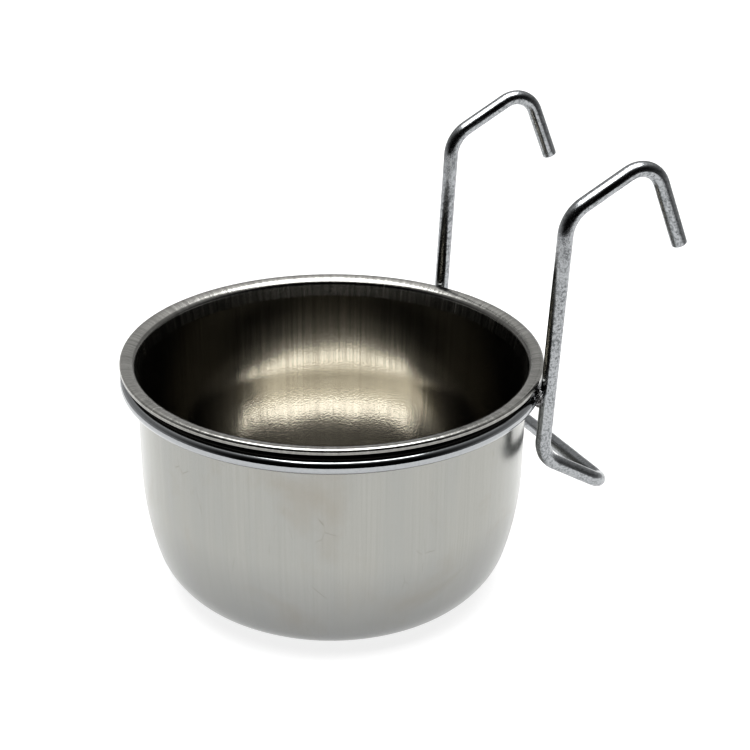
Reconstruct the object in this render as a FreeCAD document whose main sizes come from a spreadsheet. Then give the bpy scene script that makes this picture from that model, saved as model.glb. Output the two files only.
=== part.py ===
"""Hook-on feeding cup: a pressed stainless cup that rests in a welded wire holder.

The holder hangs on a horizontal cage wire by two hooks and leans on the cage with a
cross bar lower down. The cup lifts straight up out of the ring.

Frame: origin on the underside of the hooks, midway between them, where the cage wire
lies. +X points out of the cup towards the cage, +Z up, -Y towards the left hook as
seen from the cage. All sizes are millimetres.
"""
import FreeCAD, Part
import math
import os

import Sketcher

V = FreeCAD.Vector

# Driving dimensions. Heights and depths are measured from the crest of the cup's rolled
# lip, and offsets outwards from the cup's axis.
SIZES = {
    "wire_dia": 3.5,
    "rim_radius": 48.5,
    "wall_radius": 44.85,
    "sheet": 0.5,
    "cup_depth": 57.55,
    "belly_depth": 26.7,
    "belly_radius": 75.0,
    "corner_radius": 15.0,
    "roll_reach": 3.1,
    "roll_depth": 4.85,
    "crest_radius": 2.2,
    "edge_radius": 1.35,
    "lip_thickness": 0.8,
    "hem_round": 0.3,
    "crease_round": 1.0,
    "ring_radius": 46.9,
    "ring_depth": 4.5,
    "hook_spacing": 61.6,
    "leg_offset": 40.2,
    "leg_lean": 0.0416,
    "top_bend_height": 37.95,
    "apex_offset": 61.3,
    "apex_height": 49.15,
    "tip_offset": 69.9,
    "tip_height": 28.45,
    "tip_shortfall": 2.8,
    "low_bend_depth": 18.95,
    "bar_offset": 56.5,
    "bar_depth": 29.15,
    "bar_skew": 5.4,
    "top_round": 7.8,
    "apex_round": 5.8,
    "low_round": 6.6,
    "bar_round": 5.2,
    "weld_reach": 1.5,
    "weld_width": 2.4,
    "weld_height": 2.7,
}


def make_sheet(doc):
    """Put every driving dimension in the spreadsheet, under its own alias."""
    sheet = doc.addObject("Spreadsheet::Sheet", "Dimensions")
    for row, (name, value) in enumerate(SIZES.items(), start=1):
        sheet.set(f"A{row}", name)
        sheet.set(f"B{row}", str(value))
        sheet.setAlias(f"B{row}", name)
    doc.recompute()
    return sheet


def plane(body, role):
    """One of the body's own origin planes."""
    return next(f for f in body.Origin.OriginFeatures if f.Role == role)


def check_done(doc):
    """Stop at any object that failed to recompute."""
    for obj in doc.Objects:
        if "Invalid" in obj.State or "Error" in obj.State:
            raise RuntimeError(f"{obj.Name} failed: {obj.State}")


# ---------------------------------------------------------------- hanger geometry

def corner_arc(before, corner, after, radius):
    """Start, middle and end of the arc that rounds one corner of a bent wire."""
    back = (before - corner).normalize()
    ahead = (after - corner).normalize()
    half_angle = back.getAngle(ahead) / 2
    setback = radius / math.tan(half_angle)
    centre_dir = (back + ahead).normalize()
    centre = corner + centre_dir * (radius / math.sin(half_angle))
    return corner + back * setback, centre - centre_dir * radius, corner + ahead * setback


def bent_wire_path(points, radii):
    """A wire of straight runs joined by tangent arcs, one arc at each inner point."""
    edges = []
    run_start = points[0]
    for i, radius in enumerate(radii, start=1):
        first, middle, last = corner_arc(points[i - 1], points[i], points[i + 1], radius)
        edges.append(Part.LineSegment(run_start, first).toShape())
        edges.append(Part.Arc(first, middle, last).toShape())
        run_start = last
    edges.append(Part.LineSegment(run_start, points[-1]).toShape())
    return Part.Wire(edges)


def leg_offset_at(sheet, height):
    """Offset of the leaning leg's centre line from the cup's axis at one height."""
    return sheet.leg_offset + sheet.leg_lean * height


def hanger_half(sheet, side, shortfall, drop):
    """Corner points of one half of the hanger, from the hook's tip to the cross bar."""
    y = side * sheet.hook_spacing / 2
    low_height = -sheet.low_bend_depth - drop
    apex = V(sheet.apex_offset, y, sheet.apex_height)
    tip = V(sheet.tip_offset, y, sheet.tip_height)
    return [
        tip + (apex - tip).normalize() * shortfall,
        apex,
        V(leg_offset_at(sheet, sheet.top_bend_height), y, sheet.top_bend_height),
        V(leg_offset_at(sheet, low_height), y, low_height),
        V(sheet.bar_offset, y, -sheet.bar_depth - drop),
    ]


def hanger_path(sheet):
    """The hanger's centre line: hook, leg, cross bar, leg, hook, in one bent wire."""
    left = hanger_half(sheet, -1, 0.0, 0.0)
    right = hanger_half(sheet, 1, sheet.tip_shortfall, sheet.bar_skew)
    half_radii = [sheet.apex_round, sheet.top_round, sheet.low_round, sheet.bar_round]
    return bent_wire_path(left + right[::-1], half_radii + half_radii[::-1])


def hook_seat(sheet):
    """Where a cage wire touches the underside of the hooks' bends."""
    tip, apex, top = hanger_half(sheet, -1, 0.0, 0.0)[:3]
    first, middle, last = corner_arc(tip, apex, top, sheet.apex_round)
    bend = Part.Arc(first, middle, last).toShape().Curve
    inner_radius = sheet.apex_round - sheet.wire_dia / 2
    return V(bend.Center.x, 0, bend.Center.z + inner_radius)


# ------------------------------------------------------------------------- cup

BELLY_ANGLE = ("asin((D.cup_depth - D.belly_depth - D.corner_radius)"
               " / (D.belly_radius - D.corner_radius))")
BELLY_CENTRE = "(D.wall_radius - D.belly_radius)"
BASE_RADIUS = f"{BELLY_CENTRE} + (D.belly_radius - D.corner_radius) * cos({BELLY_ANGLE})"

# The lip leans outwards in a cone and rolls over its crest: in a wide arc on the side of
# the cone, and in a tighter one on the side of the edge.
CREST = "(D.wall_radius - D.sheet + D.roll_reach)"
ROLL_FALL = "(D.roll_depth - D.crest_radius)"
CONE_LEAN = (f"(acos(D.crest_radius / sqrt(D.roll_reach ^ 2 + {ROLL_FALL} ^ 2))"
             f" - atan({ROLL_FALL} / D.roll_reach))")
CREASE_DEPTH = f"D.roll_depth + D.sheet * tan({CONE_LEAN} / 2)"
EDGE_DEPTH = f"(D.edge_radius - sqrt(D.edge_radius ^ 2 - (D.rim_radius - {CREST}) ^ 2))"
HEM_DEPTH = f"({EDGE_DEPTH} + D.lip_thickness)"


def belly_end(inset):
    """Where the belly's arc meets the corner's arc, inset from the outer face."""
    radius = f"(D.belly_radius - {inset})"
    return (f"{BELLY_CENTRE} + {radius} * cos({BELLY_ANGLE})",
            f"D.belly_depth + {radius} * sin({BELLY_ANGLE})")


def cone_top(inset):
    """Where the lip's cone meets the arc over its crest, inset from the upper face."""
    radius = f"(D.crest_radius - {inset})"
    return (f"{CREST} - {radius} * cos({CONE_LEAN})",
            f"D.crest_radius - {radius} * sin({CONE_LEAN})")


# Corners of the cup's section, as offset from the axis and depth below the crest. The
# third value is the radius of the arc that leads to the next corner, if it is an arc,
# and the fourth is the side that the arc bulges to: 1 away from the axis, -1 towards it.
CUP_SECTION = [
    ("0", "D.cup_depth", None, 0),
    (BASE_RADIUS, "D.cup_depth", "D.corner_radius", 1),
    (*belly_end("0"), "D.belly_radius", 1),
    ("D.wall_radius", "D.belly_depth", None, 0),
    ("D.wall_radius", CREASE_DEPTH, None, 0),
    (*cone_top("D.sheet"), "D.crest_radius - D.sheet", -1),
    (CREST, "D.sheet", None, 0),
    (CREST, HEM_DEPTH, None, 0),
    ("D.rim_radius", HEM_DEPTH, None, 0),
    ("D.rim_radius", EDGE_DEPTH, "D.edge_radius", 1),
    (CREST, "0", "D.crest_radius", -1),
    (*cone_top("0"), None, 0),
    ("D.wall_radius - D.sheet", "D.roll_depth", None, 0),
    ("D.wall_radius - D.sheet", "D.belly_depth", "D.belly_radius - D.sheet", 1),
    (*belly_end("D.sheet"), "D.corner_radius - D.sheet", 1),
    (BASE_RADIUS, "D.cup_depth - D.sheet", None, 0),
    ("0", "D.cup_depth - D.sheet", None, 0),
]
HEM_CORNERS = (8, 9)
CREASE_CORNERS = (4, 12)

# How near two points, or an edge and its expected place, count as the same.
POINT_TOLERANCE = 1e-6
EDGE_TOLERANCE = 0.01


def evaluate(sheet, expression):
    """The value of one expression in the sheet's own sizes."""
    value = sheet.evalExpression(expression.replace("D.", "Dimensions."))
    return float(getattr(value, "Value", value))


def arc_between(start, end, radius, bulge):
    """The short arc of a given radius between two points, bulging to one side."""
    chord = end - start
    middle = (start + end) * 0.5
    outwards = V(-chord.y, chord.x, 0).normalize()
    if outwards.x < 0:
        outwards = -outwards
    rise = radius - math.sqrt(radius ** 2 - (chord.Length / 2) ** 2)
    return Part.Arc(start, middle + outwards * (rise * bulge), end)


def draw_cup_section(sketch, sheet):
    """Draw the section's outline and bind each corner and each radius to the sheet."""
    points = [V(evaluate(sheet, x), -evaluate(sheet, z), 0) for x, z, _, _ in CUP_SECTION]
    count = len(points)
    for i, (_, _, radius, bulge) in enumerate(CUP_SECTION):
        start = points[i]
        end = points[(i + 1) % count]
        if radius is None:
            sketch.addGeometry(Part.LineSegment(start, end))
        else:
            sketch.addGeometry(arc_between(start, end, evaluate(sheet, radius), bulge))
    # A sketch stores every arc anticlockwise, so some run from their second corner.
    first_point = []
    for i in range(count):
        forwards = sketch.getPoint(i, 1).distanceToPoint(points[i]) < POINT_TOLERANCE
        first_point.append(1 if forwards else 2)
    for i in range(count):
        following = (i + 1) % count
        sketch.addConstraint(Sketcher.Constraint(
            "Coincident", i, 3 - first_point[i], following, first_point[following]))
    for i, (x, z, radius, _) in enumerate(CUP_SECTION):
        bind_corner(sketch, i, first_point[i], x, z, points[i])
        if radius is not None:
            index = sketch.addConstraint(
                Sketcher.Constraint("Radius", i, evaluate(sheet, radius)))
            sketch.setExpression(f"Constraints[{index}]", radius.replace("D.", "Dimensions."))


def bind_corner(sketch, edge, end, offset, depth, point):
    """Hold one corner of the section at its offset and depth from the sheet."""
    if offset == "0":
        sketch.addConstraint(Sketcher.Constraint("PointOnObject", edge, end, -2))
    else:
        index = sketch.addConstraint(
            Sketcher.Constraint("DistanceX", -1, 1, edge, end, point.x))
        sketch.setExpression(f"Constraints[{index}]", offset.replace("D.", "Dimensions."))
    if depth == "0":
        sketch.addConstraint(Sketcher.Constraint("PointOnObject", edge, end, -1))
    else:
        index = sketch.addConstraint(
            Sketcher.Constraint("DistanceY", edge, end, -1, 1, -point.y))
        sketch.setExpression(f"Constraints[{index}]", depth.replace("D.", "Dimensions."))


def edges_at(shape, radius, depth):
    """Names of the circular edges of the cup at one offset and depth."""
    names = []
    for i, edge in enumerate(shape.Edges, start=1):
        curve = edge.Curve
        if not isinstance(curve, Part.Circle):
            continue
        miss = max(abs(curve.Radius - radius), abs(curve.Center.z + depth))
        if miss < EDGE_TOLERANCE:
            names.append(f"Edge{i}")
    return names


def round_corners(doc, body, sheet, name, corners, size):
    """Round the cup's edges at some corners of its section."""
    base = body.Tip
    names = []
    for corner in corners:
        offset, depth = CUP_SECTION[corner][:2]
        names += edges_at(base.Shape, evaluate(sheet, offset), evaluate(sheet, depth))
    fillet = body.newObject("PartDesign::Fillet", name)
    fillet.Base = (base, names)
    fillet.setExpression("Radius", size)
    doc.recompute()


def make_cup(doc, sheet):
    """The pressed cup: one revolved sheet whose lip rolls outwards to a thick hem."""
    body = doc.addObject("PartDesign::Body", "Cup")
    sketch = body.newObject("Sketcher::SketchObject", "CupSection")
    sketch.AttachmentSupport = (plane(body, "XZ_Plane"), [""])
    sketch.MapMode = "FlatFace"
    draw_cup_section(sketch, sheet)
    doc.recompute()
    turned = body.newObject("PartDesign::Revolution", "TurnedCup")
    turned.Profile = sketch
    turned.ReferenceAxis = (sketch, ["V_Axis"])
    turned.Angle = 360
    doc.recompute()
    round_corners(doc, body, sheet, "HemRounds", HEM_CORNERS, "Dimensions.hem_round")
    round_corners(doc, body, sheet, "CreaseRounds", CREASE_CORNERS,
                  "Dimensions.crease_round")
    return body


# ---------------------------------------------------------------------- holder

def make_ring(doc):
    """The round wire hoop that the cone of the cup's lip rests on."""
    ring = doc.addObject("Part::Torus", "HolderRing")
    ring.setExpression("Radius1", "Dimensions.ring_radius")
    ring.setExpression("Radius2", "Dimensions.wire_dia / 2")
    return ring


def make_hanger(doc, sheet):
    """The hanger, one wire swept along its bent centre line."""
    path = doc.addObject("Part::Feature", "HangerPath")
    path.Shape = hanger_path(sheet)
    start = path.Shape.Edges[0]
    section = doc.addObject("Part::Circle", "HangerSection")
    section.setExpression("Radius", "Dimensions.wire_dia / 2")
    section.Placement = FreeCAD.Placement(
        start.valueAt(start.FirstParameter),
        FreeCAD.Rotation(V(0, 0, 1), start.tangentAt(start.FirstParameter)))
    hanger = doc.addObject("Part::Sweep", "Hanger")
    hanger.Sections = [section]
    hanger.Spine = (path, [f"Edge{i + 1}" for i in range(len(path.Shape.Edges))])
    hanger.Solid = True
    hanger.Frenet = False
    return hanger


def make_weld(doc, sheet, side, tools):
    """The weld between the ring and one leg: a nugget that fills round both wires."""
    label = "Left" if side < 0 else "Right"
    leg = leg_offset_at(sheet, -sheet.ring_depth)
    angle = math.degrees(math.atan2(side * sheet.hook_spacing / 2, leg))
    leg_reach = math.hypot(leg, sheet.hook_spacing / 2)
    contact = (sheet.ring_radius + leg_reach) / 2
    nugget = doc.addObject("Part::Ellipsoid", f"{label}Nugget")
    nugget.setExpression("Radius1", "Dimensions.weld_height")
    nugget.setExpression("Radius2", "Dimensions.weld_reach")
    nugget.setExpression("Radius3", "Dimensions.weld_width")
    turn = FreeCAD.Rotation(V(0, 0, 1), angle)
    nugget.Placement = FreeCAD.Placement(
        turn.multVec(V(contact, 0, 0)) + V(0, 0, -sheet.ring_depth), turn)
    shaped = nugget
    for number, tool in enumerate(tools, start=1):
        cut = doc.addObject("Part::Cut", f"{label}Weld{number}")
        cut.Base = shaped
        cut.Tool = tool
        shaped = cut
    return shaped


def main():
    doc = FreeCAD.newDocument("HookOnCup")
    sheet = make_sheet(doc)
    cup = make_cup(doc, sheet)
    ring = make_ring(doc)
    ring.Placement.Base = V(0, 0, -sheet.ring_depth)
    hanger = make_hanger(doc, sheet)
    doc.recompute()
    welds = [make_weld(doc, sheet, side, (ring, hanger)) for side in (-1, 1)]
    doc.recompute()
    check_done(doc)

    nodes = {
        "cup": cup,
        "holder_ring": ring,
        "hanger_wire": hanger,
        "left_leg_weld": welds[0],
        "right_leg_weld": welds[1],
    }
    to_hooks = hook_seat(sheet) * -1
    os.makedirs("parts", exist_ok=True)
    for name, obj in nodes.items():
        obj.Label = name
        shape = obj.Shape.copy()
        if shape.isNull() or not shape.isValid() or len(shape.Solids) != 1:
            raise RuntimeError(f"{name} is not one valid solid")
        shape.translate(to_hooks)
        shape.exportStep(f"parts/{name}.step")
        box = shape.BoundBox
        print(f"{name}: {shape.Volume:.1f} mm3, x {box.XMin:.2f}..{box.XMax:.2f},"
              f" y {box.YMin:.2f}..{box.YMax:.2f}, z {box.ZMin:.2f}..{box.ZMax:.2f}")


main()
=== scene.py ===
"""The looks of a hook-on feeding cup: a stainless cup in a plated wire holder.

Lengths are metres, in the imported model's own frame: +X out of the cup towards the
cage, +Z up, origin under the hooks' bends.
"""
import math

import bmesh
import bpy
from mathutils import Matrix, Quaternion, Vector, noise


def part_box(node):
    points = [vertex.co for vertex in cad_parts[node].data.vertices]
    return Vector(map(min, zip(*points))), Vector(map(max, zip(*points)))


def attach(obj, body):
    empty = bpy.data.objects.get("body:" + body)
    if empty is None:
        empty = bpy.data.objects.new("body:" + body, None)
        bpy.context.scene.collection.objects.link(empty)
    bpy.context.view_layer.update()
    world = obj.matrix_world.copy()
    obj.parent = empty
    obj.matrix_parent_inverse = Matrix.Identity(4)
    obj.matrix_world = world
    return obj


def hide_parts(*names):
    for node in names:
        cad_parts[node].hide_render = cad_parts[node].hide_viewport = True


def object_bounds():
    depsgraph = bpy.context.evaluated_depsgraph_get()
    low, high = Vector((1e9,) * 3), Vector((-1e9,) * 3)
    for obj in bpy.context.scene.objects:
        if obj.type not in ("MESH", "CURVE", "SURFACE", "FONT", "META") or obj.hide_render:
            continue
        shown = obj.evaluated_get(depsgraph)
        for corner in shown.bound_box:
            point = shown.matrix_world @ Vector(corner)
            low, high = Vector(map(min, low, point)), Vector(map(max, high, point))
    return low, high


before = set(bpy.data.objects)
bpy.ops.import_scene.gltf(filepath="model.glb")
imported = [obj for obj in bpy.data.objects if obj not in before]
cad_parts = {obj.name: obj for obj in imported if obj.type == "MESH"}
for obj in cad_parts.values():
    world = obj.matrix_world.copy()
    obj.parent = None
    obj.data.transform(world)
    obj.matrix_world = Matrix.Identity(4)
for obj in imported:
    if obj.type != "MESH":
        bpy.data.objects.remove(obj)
CAD_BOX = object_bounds()

MM = 0.001
UPRIGHT = math.pi / 2

# ------------------------------------------------------------- places, from the frame
CUP_LOW, CUP_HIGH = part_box("cup")
RING_LOW, RING_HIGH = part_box("holder_ring")
RIM = Vector(((CUP_LOW[0] + CUP_HIGH[0]) / 2, 0.0, CUP_HIGH[2]))
RIM_RADIUS = (CUP_HIGH[0] - CUP_LOW[0]) / 2
CUP_DEPTH = CUP_HIGH[2] - CUP_LOW[2]
WIRE_RADIUS = (RING_HIGH[2] - RING_LOW[2]) / 2
RING_RADIUS = (RING_HIGH[0] - RING_LOW[0]) / 2 - WIRE_RADIUS
RING_CENTRE = Vector((RIM.x, RIM.y, (RING_HIGH[2] + RING_LOW[2]) / 2))
GROUND = CAD_BOX[0].z

# ------------------------------------------------------------------- the cup's section
SHEET = 0.5 * MM
WALL_RADIUS = 44.85 * MM
INNER_TAPER = 0.45 * MM
BELLY_DEPTH = 26.7 * MM
BELLY_RADIUS = 75.0 * MM
CORNER_RADIUS = 15.0 * MM
ROLL_REACH = 3.1 * MM
ROLL_DEPTH = 4.85 * MM
UNDERSIDE_RADIUS = 2.2 * MM
CREASE_ROUND = 1.0 * MM
INNER_CREASE_DEPTH = 4.55 * MM
HEM_DEPTH = 1.38 * MM
HEM_ROUND = 0.3 * MM
EDGE_RADIUS = 0.7 * MM
CROWN_RADIUS = 4.2 * MM
CROWN_SWEEP = math.radians(30)
BROW_RADIUS = 1.75 * MM

# The pressing's unevenness fades in below the rim.
WAVE_HEIGHT = 0.045 * MM
WAVE_LENGTH = 26 * MM
WAVE_TURNS = 2.1
WAVE_START = 6 * MM
WAVE_FADE = 12 * MM

# Material slots of the cup's mesh.
OUTSIDE, LIP, INSIDE = 0, 1, 2

# ---------------------------------------- the hanger's corners, from the rim's centre
HOOK_Y = 30.8 * MM
LEG_OFFSET = 40.2 * MM
LEG_LEAN = 0.0416
TOP_BEND_Z = 37.95 * MM
APEX = (61.3 * MM, 49.15 * MM)
TIP = (69.9 * MM, 28.45 * MM)
TIP_SHORTFALL = 2.8 * MM
LOW_BEND_Z = -18.95 * MM
BAR = (56.5 * MM, -29.15 * MM)
BAR_SKEW = 5.4 * MM
BEND_RADII = (5.8 * MM, 7.8 * MM, 6.6 * MM, 5.2 * MM)
CUT_END_ROUND = 0.35 * MM

# How far each weld nugget reaches outwards, along the ring and up, and how lumpy it is.
WELD_REACH = (1.5 * MM, 2.3 * MM, 2.6 * MM)
WELD_EVEN_SHARE = 0.92
WELD_LUMP_SHARE = 0.16
WELD_LUMP_SCALE = 1.6
WELD_NOISE = (0.6, 2.2, 4)

# ------------------------------------------------------------- how finely it is meshed
CUP_SEGMENTS = 320
WALL_STEPS = 14
BELLY_STEPS = 22
CORNER_STEPS = 26
BASE_STEPS = 12
UNDER_CONE_STEPS = 8
UPPER_CONE_STEPS = 10
CROWN_STEPS = 16
BROW_STEPS = 20
HEM_STEPS = 6
CREASE_STEPS = 8
RING_SEGMENTS = 360
WIRE_SIDES = 36
WIRE_STEP = 1.5 * MM
WIRE_BEND_STEPS = 18
CUT_END_STEPS = 6
FLOOR_SEGMENTS = 128
SCREEN_SEGMENTS = 96

# ---------------------------------------------------------------- camera and the room
CAMERA_AZIMUTH = math.radians(18.96)
CAMERA_ELEVATION = math.radians(24.45)
CAMERA_ROLL = math.radians(0.676)
CAMERA_DISTANCE = 0.3421
AIM_RIGHT = 9.79 * MM
AIM_UP = -5.26 * MM
AIM_BELOW_CREST = 0.45 * MM
LENS = 71.33
SENSOR = 36.0

# The room is pale on this side and dark on the other.
ROOM_BACK = (math.sin(CAMERA_AZIMUTH), math.cos(CAMERA_AZIMUTH), 0.0)

SOFTBOX_PLACE = (RIM.x - 0.02, -0.13, RIM.z + 2.0)
SOFTBOX_SIZE = (1.9, 1.87)
SOFTBOX_WATTS = 50.0

FLOOR_ROWS = (0.02, 0.1, 0.3, 0.6, 1.0, 1.6, 2.4)
FLOOR_REACH = 3.6
FLOOR_CURVE = 0.45
CARD_SECTION = ((0.33, 0.002), (1.2, 0.004), (2.4, 0.006), (3.3, 0.008), (3.5, 0.44))
BACKDROP_GAP = 0.05
BACKDROP_HEIGHTS = (0.40, 2.0, 5.0)


# ------------------------------------------------------------------- mesh helpers

def add_object(name, bm, materials, smooth=True):
    """Turn a bmesh into an object in the scene. A smooth one gets its normals aligned."""
    if smooth:
        bmesh.ops.recalc_face_normals(bm, faces=bm.faces)
    mesh = bpy.data.meshes.new(name)
    bm.to_mesh(mesh)
    bm.free()
    for polygon in mesh.polygons:
        polygon.use_smooth = smooth
    for material in materials:
        mesh.materials.append(material)
    obj = bpy.data.objects.new(name, mesh)
    bpy.context.scene.collection.objects.link(obj)
    return obj


def add_piece(name, bm, materials, body, node):
    """Add a piece that stands for a node and rides on its body."""
    obj = add_object(name, bm, materials)
    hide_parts(node)
    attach(obj, body)


def turns(count):
    """Angles evenly round a full turn."""
    return [2 * math.pi * i / count for i in range(count)]


def directions(count):
    """Level unit vectors evenly round the cup's axis."""
    return [Vector((math.cos(turn), math.sin(turn), 0.0)) for turn in turns(count)]


def join_rows(bm, low, high):
    """Faces between two closed rows of vertices, either of which may be one point."""
    count = max(len(low), len(high))
    faces = []
    for i in range(count):
        j = (i + 1) % count
        corners = [low[i % len(low)], low[j % len(low)], high[j % len(high)], high[i % len(high)]]
        faces.append(bm.faces.new(list(dict.fromkeys(corners))))
    return faces


def arc_points(centre, radius, start, end, steps):
    """Points of an arc in a plane, angles in radians."""
    angles = [start + (end - start) * i / steps for i in range(steps + 1)]
    return [(centre[0] + radius * math.cos(a), centre[1] + radius * math.sin(a))
            for a in angles]


def cut_up(start, end, count):
    """Inner points of a straight stretch of a flat section."""
    return [(start[0] + (end[0] - start[0]) * i / count,
             start[1] + (end[1] - start[1]) * i / count) for i in range(1, count)]


def rounded_corner(before, corner, after, radius, steps):
    """Points of the arc that rounds one corner of a route in space."""
    back = (before - corner).normalized()
    ahead = (after - corner).normalized()
    half = back.angle(ahead) / 2
    bisector = (back + ahead).normalized()
    centre = corner + bisector * (radius / math.sin(half))
    first = corner + back * (radius / math.tan(half)) - centre
    last = corner + ahead * (radius / math.tan(half)) - centre
    sweep = first.angle(last)
    points = []
    for i in range(steps + 1):
        t = i / steps
        points.append(centre + (first * math.sin((1 - t) * sweep)
                                + last * math.sin(t * sweep)) / math.sin(sweep))
    return points


def straight_run(start, end):
    """Inner points of a straight run, close enough for fine surface relief."""
    count = max(1, int((end - start).length / WIRE_STEP))
    return [start.lerp(end, i / count) for i in range(1, count)]


def rounded_route(corners, radii):
    """A route with each inner corner rounded, and its straight runs cut up evenly."""
    route = [corners[0]]
    for i, radius in enumerate(radii, start=1):
        bend = rounded_corner(*corners[i - 1:i + 2], radius, WIRE_BEND_STEPS)
        route += straight_run(route[-1], bend[0]) + bend
    return route + straight_run(route[-1], corners[-1]) + [corners[-1]]


# ---------------------------------------------------------------------------- cup

def corner_bend(before, corner, after, radius, steps):
    """The rounded corner of a flat section, as (offset, height) pairs."""
    flat = [Vector((p[0], 0.0, p[1])) for p in (before, corner, after)]
    return [(p.x, p.z) for p in rounded_corner(*flat, radius, steps)]


def belly(inset):
    """The wall from its belly to the base's centre, inset from the outer face."""
    reach = BELLY_RADIUS - CORNER_RADIUS
    angle = math.asin((CUP_DEPTH - BELLY_DEPTH - CORNER_RADIUS) / reach)
    belly_centre = (WALL_RADIUS - BELLY_RADIUS, -BELLY_DEPTH)
    corner_centre = (belly_centre[0] + reach * math.cos(angle), CORNER_RADIUS - CUP_DEPTH)
    wall = arc_points(belly_centre, BELLY_RADIUS - inset, 0.0, -angle, BELLY_STEPS)
    corner = arc_points(corner_centre, CORNER_RADIUS - inset, -angle, -UPRIGHT, CORNER_STEPS)
    axis = (0.0, inset - CUP_DEPTH)
    flat = cut_up((corner_centre[0], axis[1]), axis, BASE_STEPS)
    return wall + corner[1:] + flat + [axis]


def lip_underside():
    """The lip's lower face, from under its crest to the top of its cone, and its lean."""
    fall = ROLL_DEPTH - UNDERSIDE_RADIUS
    lean = math.acos(UNDERSIDE_RADIUS / math.hypot(ROLL_REACH, fall)) - math.atan2(fall, ROLL_REACH)
    centre = (WALL_RADIUS - SHEET + ROLL_REACH, -UNDERSIDE_RADIUS)
    lower = arc_points(centre, UNDERSIDE_RADIUS - SHEET, UPRIGHT, math.pi - lean, CROWN_STEPS)
    return lower, lean


def lip_crown(crease):
    """The lip's upper face: its tight outer edge, low crown and steep inner brow."""
    crest = RIM_RADIUS - EDGE_RADIUS
    turned = UPRIGHT + CROWN_SWEEP
    edge = arc_points((crest, -EDGE_RADIUS), EDGE_RADIUS, 0.0, UPRIGHT, CROWN_STEPS)
    crown = arc_points((crest, -CROWN_RADIUS), CROWN_RADIUS, UPRIGHT, turned, CROWN_STEPS)
    shift = CROWN_RADIUS - BROW_RADIUS
    centre = (crest + shift * math.cos(turned), -CROWN_RADIUS + shift * math.sin(turned))
    across, down = crease[0] - centre[0], crease[1] - centre[1]
    aim = math.atan2(down, across) % (2 * math.pi)
    tangent = aim - math.acos(BROW_RADIUS / math.hypot(across, down))
    brow = arc_points(centre, BROW_RADIUS, turned, tangent, BROW_STEPS)
    return edge + crown[1:] + brow[1:]


def cup_section():
    """The cup's section as three runs: outside, lip and inside, from base to base."""
    inner_crease = (WALL_RADIUS - SHEET, -INNER_CREASE_DEPTH)
    upper = lip_crown(inner_crease)
    lower, lean = lip_underside()
    outer_wall = (WALL_RADIUS, -BELLY_DEPTH)
    outer_crease = (WALL_RADIUS, -ROLL_DEPTH - SHEET * math.tan(lean / 2))
    inner_wall = (WALL_RADIUS - SHEET - INNER_TAPER, -BELLY_DEPTH)
    outer_bend = corner_bend(outer_wall, outer_crease, lower[-1], CREASE_ROUND, CREASE_STEPS)
    inner_bend = corner_bend(upper[-1], inner_crease, inner_wall, CREASE_ROUND, CREASE_STEPS)
    middle = CREASE_STEPS // 2 + 1

    outside = belly(0.0)[::-1] + cut_up(outer_wall, outer_bend[0], WALL_STEPS)
    outside += outer_bend + cut_up(outer_bend[-1], lower[-1], UNDER_CONE_STEPS) + lower[::-1]

    hem_edge = (RIM_RADIUS, -HEM_DEPTH)
    hem_foot = (lower[0][0], -HEM_DEPTH)
    lip = [hem_foot] + corner_bend(hem_foot, hem_edge, upper[0], HEM_ROUND, HEM_STEPS)
    lip += upper + cut_up(upper[-1], inner_bend[0], UPPER_CONE_STEPS) + inner_bend[:middle]

    inside = inner_bend[middle:] + cut_up(inner_bend[-1], inner_wall, WALL_STEPS)
    inside += [(max(0.0, offset - INNER_TAPER), height) for offset, height in belly(SHEET)]
    return outside, lip, inside


def sheet_wave(direction, height):
    """The slight unevenness that pressing leaves in the wall."""
    share = min(1.0, max(0.0, (-height - WAVE_START) / WAVE_FADE))
    spot = Vector((direction.x * WAVE_TURNS, direction.y * WAVE_TURNS, height / WAVE_LENGTH))
    return WAVE_HEIGHT * share * noise.noise(spot)


def cup_row(bm, offset, height):
    """One ring of the cup's vertices, or the one vertex on its axis."""
    level = RIM + Vector((0, 0, height))
    if offset < 1e-6:
        return [bm.verts.new(level)]
    return [bm.verts.new(level + direction * (offset + sheet_wave(direction, height)))
            for direction in directions(CUP_SEGMENTS)]


def make_cup(materials):
    """Revolve the section. A face that touches the lip takes the lip's material."""
    bm = bmesh.new()
    rows = []
    zones = []
    for zone, run in zip((OUTSIDE, LIP, INSIDE), cup_section()):
        rows += [cup_row(bm, offset, height) for offset, height in run]
        zones += [zone] * len(run)
    for k in range(len(rows) - 1):
        pair = zones[k:k + 2]
        for face in join_rows(bm, rows[k], rows[k + 1]):
            face.material_index = LIP if LIP in pair else pair[0]
    add_piece("stainless_cup", bm, materials, "cup", "cup")


# --------------------------------------------------------------------------- wires

def route_tangents(route, closed):
    """The direction of travel at each point of a route."""
    count = len(route)
    tangents = []
    for i in range(count):
        ahead = route[(i + 1) % count] if closed or i < count - 1 else route[i]
        behind = route[i - 1] if closed or i > 0 else route[i]
        tangents.append((ahead - behind).normalized())
    return tangents


def tube(bm, route, radii, closed):
    """Sweep a round section along a route, with the sections kept from twisting."""
    tangents = route_tangents(route, closed)
    normal = Vector((0, 0, 1)) if closed else tangents[0].orthogonal()
    sections = []
    for point, tangent, radius in zip(route, tangents, radii):
        normal = (normal - tangent * normal.dot(tangent)).normalized()
        side = tangent.cross(normal)
        sections.append([
            bm.verts.new(point + (normal * math.cos(turn) + side * math.sin(turn)) * radius)
            for turn in turns(WIRE_SIDES)])
    for low, high in zip(sections, sections[1:]):
        join_rows(bm, low, high)
    if closed:
        join_rows(bm, sections[-1], sections[0])
    return sections


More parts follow.
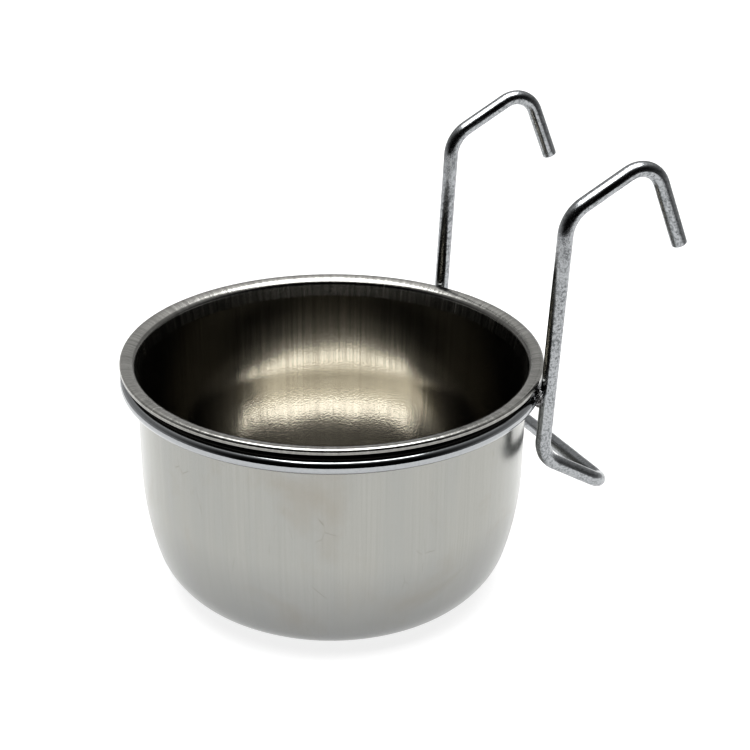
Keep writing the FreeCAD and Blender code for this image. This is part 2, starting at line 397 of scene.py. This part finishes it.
def round_cut_end(route):
    """Points and radii that round the edge of the cut at a route's last point."""
    outwards = (route[-1] - route[-2]).normalized()
    points, radii = [], []
    for i in range(CUT_END_STEPS + 1):
        turn = UPRIGHT * i / CUT_END_STEPS
        points.append(route[-1] - outwards * CUT_END_ROUND * (1 - math.sin(turn)))
        radii.append(WIRE_RADIUS - CUT_END_ROUND * (1 - math.cos(turn)))
    return points, radii


def cap(bm, outer, centre):
    """Close a cut end with rings of faces towards its centre."""
    edge = [vert.co.copy() for vert in outer]
    for share in (0.7, 0.35):
        inner = [bm.verts.new(centre.lerp(place, share)) for place in edge]
        join_rows(bm, outer, inner)
        outer = inner
    bm.faces.new(outer)


def hanger_half(side, shortfall, drop):
    """Corners of one half of the hanger, from the hook's tip to the cross bar."""
    def at(offset, height):
        return RIM + Vector((offset, side * HOOK_Y, height))
    low = LOW_BEND_Z - drop
    tip, apex = at(*TIP), at(*APEX)
    return [
        tip + (apex - tip).normalized() * shortfall,
        apex,
        at(LEG_OFFSET + LEG_LEAN * TOP_BEND_Z, TOP_BEND_Z),
        at(LEG_OFFSET + LEG_LEAN * low, low),
        at(BAR[0], BAR[1] - drop),
    ]


def make_hanger(material):
    """The hanger: one wire from hook to hook, its cut ends rounded over."""
    corners = hanger_half(-1, 0.0, 0.0)
    corners += hanger_half(1, TIP_SHORTFALL, BAR_SKEW)[::-1]
    route = rounded_route(corners, BEND_RADII + BEND_RADII[::-1])
    end_points, end_radii = round_cut_end(route)
    start_points, start_radii = round_cut_end(route[::-1])
    middle = route[1:-1]
    points = start_points[::-1] + middle + end_points
    radii = start_radii[::-1] + [WIRE_RADIUS] * len(middle) + end_radii
    bm = bmesh.new()
    sections = tube(bm, points, radii, closed=False)
    cap(bm, sections[0], points[0])
    cap(bm, sections[-1], points[-1])
    add_piece("bent_wire_hanger", bm, [material], "holder", "hanger_wire")


def make_ring(material):
    """The hoop that the cup's seat rests on."""
    route = [RING_CENTRE + direction * RING_RADIUS for direction in directions(RING_SEGMENTS)]
    bm = bmesh.new()
    tube(bm, route, [WIRE_RADIUS] * RING_SEGMENTS, closed=True)
    add_piece("wire_ring", bm, [material], "holder", "holder_ring")


# --------------------------------------------------------------------------- welds

def make_weld(side, node, material):
    """A lumpy weld nugget between the ring and one leg."""
    low, high = (Vector(corner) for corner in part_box(node))
    centre = (low + high) / 2
    outwards = Vector((centre.x - RIM.x, centre.y, 0.0)).normalized()
    axes = (outwards, Vector((-outwards.y, outwards.x, 0.0)), Vector((0, 0, 1)))
    seed = Vector((7.0 * side, 0, 0))
    bm = bmesh.new()
    bmesh.ops.create_icosphere(bm, subdivisions=6, radius=1.0)
    for vert in bm.verts:
        unit = vert.co.copy()
        lump = noise.fractal(unit * WELD_LUMP_SCALE + seed, *WELD_NOISE)
        grow = WELD_EVEN_SHARE + WELD_LUMP_SHARE * lump
        vert.co = centre.copy()
        for axis, share, reach in zip(axes, unit, WELD_REACH):
            vert.co += axis * (share * reach * grow)
    add_piece(f"{node}_nugget", bm, [material], "holder", node)


# ----------------------------------------------------------------------- materials

class Nodes:
    """Short calls for adding to a node tree."""

    def __init__(self, tree):
        self.tree = tree

    def add(self, kind, inputs, **settings):
        node = self.tree.nodes.new(kind)
        for key, value in settings.items():
            setattr(node, key, value)
        for key, value in inputs.items():
            self.feed(node, key, value)
        return node

    def feed(self, node, key, value):
        if isinstance(value, bpy.types.NodeSocket):
            self.tree.links.new(value, node.inputs[key])
        else:
            node.inputs[key].default_value = value

    def math(self, operation, first, second):
        return self.add("ShaderNodeMath", {0: first, 1: second}, operation=operation).outputs[0]

    def times(self, first, second):
        return self.math("MULTIPLY", first, second)

    def plus(self, first, second):
        return self.math("ADD", first, second)

    def vector(self, operation, first, second):
        return self.add("ShaderNodeVectorMath", {0: first, 1: second}, operation=operation)

    def spread(self, value, span, result, **settings):
        """Map a value from one span to another, and hold it at the ends."""
        return self.add("ShaderNodeMapRange", {
            "Value": value, "From Min": span[0], "From Max": span[1],
            "To Min": result[0], "To Max": result[1]}, **settings).outputs[0]

    def band(self, height, foot, top, most=1.0):
        """The most between two soft edges in height, and 0 beyond them."""
        below_top = self.spread(height, top, (most, 0.0))
        below_foot = self.spread(height, foot, (most, 0.0))
        return self.math("MAXIMUM", self.math("SUBTRACT", below_top, below_foot), 0.0)

    def noise(self, vector, scale, detail, rough=0.55, distortion=0.0):
        return self.add("ShaderNodeTexNoise", {
            "Vector": vector, "Scale": scale, "Detail": detail, "Roughness": rough,
            "Distortion": distortion}).outputs["Fac"]

    def stretched(self, vector, scale):
        return self.add("ShaderNodeMapping", {"Vector": vector, "Scale": scale}).outputs[0]

    def upright_lines(self, around, across, along, detail, rough):
        """Noise that is fine round the cup and long down its wall."""
        return self.noise(self.stretched(around, (across, across, along)), 1.0, detail, rough)

    def mix(self, share, first, second):
        """A mix of two colours, each a socket or an (r, g, b) triple."""
        node = self.add("ShaderNodeMix", {"Factor": share}, data_type="RGBA")
        for key, color in ((6, first), (7, second)):
            solid = isinstance(color, tuple)
            self.feed(node, key, (*color, 1.0) if solid else color)
        return node.outputs[2]

    def bumps(self, *layers):
        """A normal raised by (height, distance) layers, one on top of the other."""
        lower = {}
        for height, distance in layers:
            node = self.add("ShaderNodeBump", {"Height": height, "Distance": distance,
                                               "Strength": 1.0, **lower})
            lower = {"Normal": node.outputs[0]}
        return lower["Normal"]

    def height_of(self, vector):
        return self.add("ShaderNodeSeparateXYZ", {"Vector": vector}).outputs["Z"]

    def gray_ramp(self, value, stops):
        """Gray by value, through (value, gray) stops."""
        ramp = self.add("ShaderNodeValToRGB", {0: value})
        elements = ramp.color_ramp.elements
        while len(elements) < len(stops):
            elements.new(0.5)
        for element, (place, gray) in zip(list(elements), stops):
            element.position = place
            element.color = (gray, gray, gray, 1)
        return ramp.outputs[0]


class MaterialNodes(Nodes):
    """One new material, with calls for places on the cup and its holder."""

    def __init__(self, name):
        self.material = bpy.data.materials.new(name)
        self.material.use_nodes = True
        super().__init__(self.material.node_tree)
        self.shader = self.tree.nodes["Principled BSDF"]

    def place(self):
        """Position from the rim's centre."""
        position = self.add("ShaderNodeTexCoord", {}).outputs["Object"]
        return self.vector("SUBTRACT", position, tuple(RIM)).outputs[0]

    def outwards(self, place):
        """The level direction from the cup's axis."""
        flat = self.vector("MULTIPLY", place, (1, 1, 0)).outputs[0]
        return self.add("ShaderNodeVectorMath", {0: flat}, operation="NORMALIZE").outputs[0]

    def around(self, place):
        """Coordinates that stay the same along a radius, and the height."""
        height = self.height_of(place)
        parts = self.add("ShaderNodeSeparateXYZ", {"Vector": self.outwards(place)})
        joined = self.add("ShaderNodeCombineXYZ", {
            "X": parts.outputs["X"], "Y": parts.outputs["Y"], "Z": self.times(height, 20.0)})
        return joined.outputs[0], height

    def scratches(self, around):
        """Sparse hair scratches, 1 on a scratch and 0 beside it."""
        cells = self.add("ShaderNodeTexVoronoi", {
            "Vector": self.stretched(around, (9, 9, 4)), "Scale": 1.0, "Randomness": 1.0},
            feature="DISTANCE_TO_EDGE")
        hair = self.spread(cells.outputs["Distance"], (0.002, 0.009), (1.0, 0.0))
        sparse = self.spread(self.noise(around, 5.0, 2.0), (0.60, 0.66), (0.0, 1.0))
        return self.times(hair, sparse)

    def metal(self, color, roughness, normal):
        """Set the shader as bare metal, and give back the material."""
        self.shader.inputs["Metallic"].default_value = 1.0
        self.feed(self.shader, "Base Color", color)
        self.feed(self.shader, "Roughness", roughness)
        self.feed(self.shader, "Normal", normal)
        return self.material


def outside_steel():
    """Satin outside of the cup: faint upright lines, warm smudges and hair scratches. Painted shade
    darkens the lower wall and the lip's underside.
    """
    bright, dull = (0.396, 0.396, 0.374), (0.374, 0.373, 0.351)
    clouded, smudged, scratched = (0.357, 0.363, 0.352), (0.345, 0.322, 0.280), (0.24, 0.22, 0.19)
    painted_shade_low_wall, painted_shade_under_lip = (0.25, 0.255, 0.262), (0.045, 0.042, 0.038)
    n = MaterialNodes("satin_stainless")
    place = n.place()
    around, height = n.around(place)
    lines = n.upright_lines(around, across=110, along=1.2, detail=4.0, rough=0.6)
    clouds = n.upright_lines(around, across=5, along=0.9, detail=3.0, rough=0.5)
    smudges = n.noise(place, scale=42.0, detail=5.0, rough=0.6, distortion=0.8)
    grain = n.noise(place, scale=2600.0, detail=2.0)

    tint = n.mix(n.spread(lines, (0.3, 0.7), (0.0, 1.0)), bright, dull)
    tint = n.mix(n.spread(clouds, (0.4, 0.7), (0.0, 0.5)), tint, clouded)
    tint = n.mix(n.spread(smudges, (0.50, 0.72), (0.0, 0.6)), tint, smudged)
    tint = n.mix(n.times(n.scratches(around), 0.45), tint, scratched)
    # Painted shade: the lower wall darkens towards the base, standing in for the floor's shadow
    # that it reflects.
    tint = n.mix(n.spread(height, (-30.0 * MM, -57.0 * MM), (0.0, 0.65)), tint, painted_shade_low_wall)
    # Painted shade: the lip's underside and the wall just below it go near black, where the ring
    # sits under the lip.
    tint = n.mix(n.spread(height, (-6.0 * MM, -4.4 * MM), (0.0, 1.0)), tint, painted_shade_under_lip)
    rough = n.plus(n.spread(lines, (0.3, 0.7), (0.18, 0.215)),
                   n.spread(smudges, (0.4, 0.75), (0.0, 0.06)))
    return n.metal(tint, rough, n.bumps((lines, 0.005 * MM), (grain, 0.0012 * MM)))


def lip_steel():
    """The rolled lip: soft, fine lines across it, with painted shade darkening the hem round its
    edge.
    """
    dull, bright = (0.41, 0.405, 0.385), (0.56, 0.555, 0.53)
    # Painted shade colours for the hem's foot and outer face.
    hem_foot, painted_shade_hem_face = (0.22, 0.215, 0.20), (0.14, 0.137, 0.13)
    foot_edge = (-1.5 * MM, -1.42 * MM)
    n = MaterialNodes("lip_stainless")
    around, height = n.around(n.place())
    lines = n.upright_lines(around, across=48, along=2.0, detail=5.0, rough=0.64)
    patches = n.noise(around, scale=6.0, detail=3.0)
    marks = n.times(lines, n.spread(patches, (0.3, 0.7), (0.5, 1.0)))

    tint = n.mix(n.spread(lines, (0.34, 0.66), (0.0, 1.0)), dull, bright)
    # Painted shade: the hem's foot goes dark, and its outer face is partly darkened, above the gap
    # to the ring.
    tint = n.mix(n.band(height, foot_edge, (-1.36 * MM, -1.18 * MM)), tint, hem_foot)
    tint = n.mix(n.band(height, foot_edge, (-0.75 * MM, -0.55 * MM), most=0.55), tint, painted_shade_hem_face)
    rough = n.spread(lines, (0.3, 0.7), (0.16, 0.28))
    return n.metal(tint, rough, n.bumps((marks, 0.105 * MM)))


def inside_steel():
    """Bright inside of the cup: upright drawing marks and a pebbled lower wall."""
    bright, dull, streaked = (0.500, 0.484, 0.442), (0.442, 0.427, 0.389), (0.38, 0.363, 0.325)
    n = MaterialNodes("bright_stainless")
    place = n.place()
    around, height = n.around(place)
    lines = n.upright_lines(around, across=30, along=0.5, detail=5.0, rough=0.68)
    fine_lines = n.upright_lines(around, across=170, along=1.5, detail=3.0, rough=0.6)
    streaks = n.upright_lines(around, across=62, along=0.35, detail=4.0, rough=0.7)
    pebbles = n.times(n.noise(place, scale=2100.0, detail=2.0, rough=0.5),
                      n.spread(height, (-8.0 * MM, -26.0 * MM), (0.35, 1.0)))

    streak_share = n.times(n.spread(streaks, (0.46, 0.62), (0.0, 0.95)),
                           n.spread(height, (-34.0 * MM, -16.0 * MM), (0.35, 1.0)))
    tint = n.mix(n.spread(lines, (0.3, 0.7), (0.0, 1.0)), bright, dull)
    tint = n.mix(streak_share, tint, streaked)
    rough = n.plus(n.spread(lines, (0.3, 0.7), (0.05, 0.10)),
                   n.spread(height, (-30.0 * MM, -12.0 * MM), (0.0, 0.105)))
    drawn = n.plus(n.times(lines, 0.9), n.times(fine_lines, 0.16))
    return n.metal(tint, rough, n.bumps((drawn, 0.022 * MM), (pebbles, 0.011 * MM)))


def plated_wire(name, frosting):
    """Plated drawn wire: smooth where it is bright, finely pitted where it is frosted."""
    bright, speckled = (0.42, 0.43, 0.44), (0.20, 0.21, 0.215)
    n = MaterialNodes(name)
    place = n.place()
    frost = n.noise(place, scale=1700.0, detail=5.0, rough=0.75)
    patches = n.noise(place, scale=110.0, detail=3.0, rough=0.6)
    fine = n.noise(place, scale=5200.0, detail=3.0, rough=0.6)
    frosted = n.times(n.spread(patches, (0.32, 0.52), (0.25, 1.0)), frosting)

    tint = n.mix(n.times(n.spread(frost, (0.47, 0.60), (0.0, 1.0)), frosted), bright, speckled)
    rough = n.plus(n.spread(frosted, (0.0, 1.0), (0.08, 0.20)),
                   n.times(n.spread(frost, (0.5, 0.7), (0.0, 0.16)), frosted))
    pits = n.times(frost, frosted)
    return n.metal(tint, rough, n.bumps((fine, 0.003 * MM), (pits, 0.022 * MM)))


def weld_metal():
    """Plated-over weld metal: darker, pitted and lumpy."""
    dark, bright = (0.14, 0.135, 0.13), (0.44, 0.44, 0.45)
    n = MaterialNodes("weld_metal")
    place = n.place()
    lumps = n.noise(place, scale=900.0, detail=4.0, rough=0.65)
    pits = n.noise(place, scale=3000.0, detail=3.0, rough=0.6)
    tint = n.mix(n.spread(lumps, (0.35, 0.65), (0.0, 1.0)), dark, bright)
    rough = n.spread(pits, (0.3, 0.7), (0.12, 0.34))
    return n.metal(tint, rough, n.bumps((lumps, 0.16 * MM), (pits, 0.03 * MM)))


# --------------------------------------------------------------------------- stage

def glowing(name, gray, specular, strength):
    """A stage surface that gives off white light of its own."""
    n = MaterialNodes(name)
    inputs = n.shader.inputs
    inputs["Base Color"].default_value = (gray, gray, gray, 1)
    inputs["Specular IOR Level"].default_value = specular
    inputs["Emission Color"].default_value = (1, 1, 1, 1)
    inputs["Emission Strength"].default_value = strength
    return n


def make_stage(name, section, segments, material, centre_face=False, smooth=False):
    """Revolve (reach, height) pairs about the cup's axis, from the ground up."""
    bm = bmesh.new()
    ground = Vector((RIM.x, 0.0, GROUND))
    rows = []
    for reach, height in section:
        level = ground + Vector((0, 0, height))
        rows.append([bm.verts.new(level + direction * reach)
                     for direction in directions(segments)])
    if centre_face:
        bm.faces.new(rows[0])
    for inner, outer in zip(rows, rows[1:]):
        join_rows(bm, outer, inner)
    surface = add_object(name, bm, [material], smooth)
    return surface


def make_floor():
    """A pale round floor, lit from within, that curves up all round into a low wall."""
    section = [(reach, 0.0) for reach in FLOOR_ROWS]
    section += arc_points((FLOOR_REACH, FLOOR_CURVE), FLOOR_CURVE, -UPRIGHT, 0.0, CROWN_STEPS)
    n = glowing("pale_floor", gray=0.36, specular=0.1, strength=0.80)
    n.shader.inputs["Roughness"].default_value = 0.9
    make_stage("floor", section, FLOOR_SEGMENTS, n.material, centre_face=True, smooth=True)


def make_card():
    """A ring of card on the floor that glows on the room's pale side and is black on its dark side.
    Only reflections see it, so its glow is painted reflection that lights nothing.
    """
    n = glowing("reflection_glow_card", gray=0.0, specular=0.0, strength=1.0)
    facing = n.vector("DOT_PRODUCT", n.outwards(n.place()), ROOM_BACK).outputs["Value"]
    share = n.spread(facing, (-1.0, 1.0), (0.0, 1.0))
    glow = n.gray_ramp(share, [(0.0, 0.0), (0.15, 0.004), (0.45, 0.42), (1.0, 0.75)])
    n.feed(n.shader, "Emission Color", glow)
    card = make_stage("reflection_glow_card", CARD_SECTION, SCREEN_SEGMENTS, n.material)
    card.visible_camera = False
    card.visible_diffuse = False
    card.visible_shadow = False


def make_backdrop():
    """A white wall behind the floor's edge. Only the camera sees it."""
    reach = FLOOR_REACH + FLOOR_CURVE + BACKDROP_GAP
    section = [(reach, height) for height in BACKDROP_HEIGHTS]
    material = glowing("white_wall", gray=0.0, specular=0.0, strength=1.3).material
    wall = make_stage("white_wall", section, SCREEN_SEGMENTS, material)
    wall.visible_diffuse = False
    wall.visible_glossy = False
    wall.visible_shadow = False


def make_softbox():
    """One soft, nearly square light overhead."""
    data = bpy.data.lights.new("overhead_softbox", "AREA")
    data.shape = "RECTANGLE"
    data.size, data.size_y = SOFTBOX_SIZE
    data.energy = SOFTBOX_WATTS
    light = bpy.data.objects.new("overhead_softbox", data)
    bpy.context.scene.collection.objects.link(light)
    light.location = SOFTBOX_PLACE
    light.rotation_mode = "QUATERNION"
    light.rotation_quaternion = Vector((0, 0, -1)).to_track_quat("-Z", "Y")


def make_room():
    """Surroundings that are pale at the back and dark in front, by height."""
    world = bpy.data.worlds.new("room")
    bpy.context.scene.world = world
    world.use_nodes = True
    n = Nodes(world.node_tree)
    direction = n.add("ShaderNodeTexCoord", {}).outputs["Generated"]
    height = n.height_of(direction)
    back = n.gray_ramp(height, [(0.0, 0.50), (0.45, 0.48), (0.64, 0.72), (0.80, 0.95)])
    front = n.gray_ramp(height, [(0.0, 0.0), (0.60, 0.01), (0.72, 0.06), (0.80, 0.30), (0.88, 0.8)])
    facing = n.vector("DOT_PRODUCT", direction, ROOM_BACK).outputs["Value"]
    share = n.spread(facing, (-0.80, 0.80), (0.0, 1.0), interpolation_type="SMOOTHSTEP")
    n.feed(n.tree.nodes["Background"], "Color", n.mix(share, front, back))


def make_camera():
    """The camera, at its distance and angles from the middle of the rim."""
    level = math.cos(CAMERA_ELEVATION)
    back = Vector((-math.sin(CAMERA_AZIMUTH) * level, -math.cos(CAMERA_AZIMUTH) * level,
                   math.sin(CAMERA_ELEVATION)))
    right = Vector((math.cos(CAMERA_AZIMUTH), -math.sin(CAMERA_AZIMUTH), 0.0))
    up = right.cross(-back)
    centre = RIM - Vector((0, 0, AIM_BELOW_CREST))
    place = centre + back * CAMERA_DISTANCE
    aim = centre + right * AIM_RIGHT + up * AIM_UP
    data = bpy.data.cameras.new("camera")
    data.sensor_width = SENSOR
    data.lens = LENS
    data.clip_start = 0.01
    camera = bpy.data.objects.new("camera", data)
    bpy.context.scene.collection.objects.link(camera)
    camera.location = place
    camera.rotation_mode = "QUATERNION"
    camera.rotation_quaternion = ((aim - place).to_track_quat("-Z", "Y")
                                  @ Quaternion((0, 0, 1), CAMERA_ROLL))
    bpy.context.scene.camera = camera


def set_look():
    """Contrast like a studio product picture."""
    view = bpy.context.scene.view_settings
    view.view_transform = "Standard"
    view.look = "High Contrast"
    view.exposure = -0.5


def main():
    make_camera()
    make_softbox()
    make_room()
    make_floor()
    make_card()
    make_backdrop()
    make_cup([outside_steel(), lip_steel(), inside_steel()])
    make_ring(plated_wire("bright_plating", 0.15))
    make_hanger(plated_wire("frosted_plating", 1.0))
    weld = weld_metal()
    make_weld(-1, "left_leg_weld", weld)
    make_weld(1, "right_leg_weld", weld)
    set_look()


main()
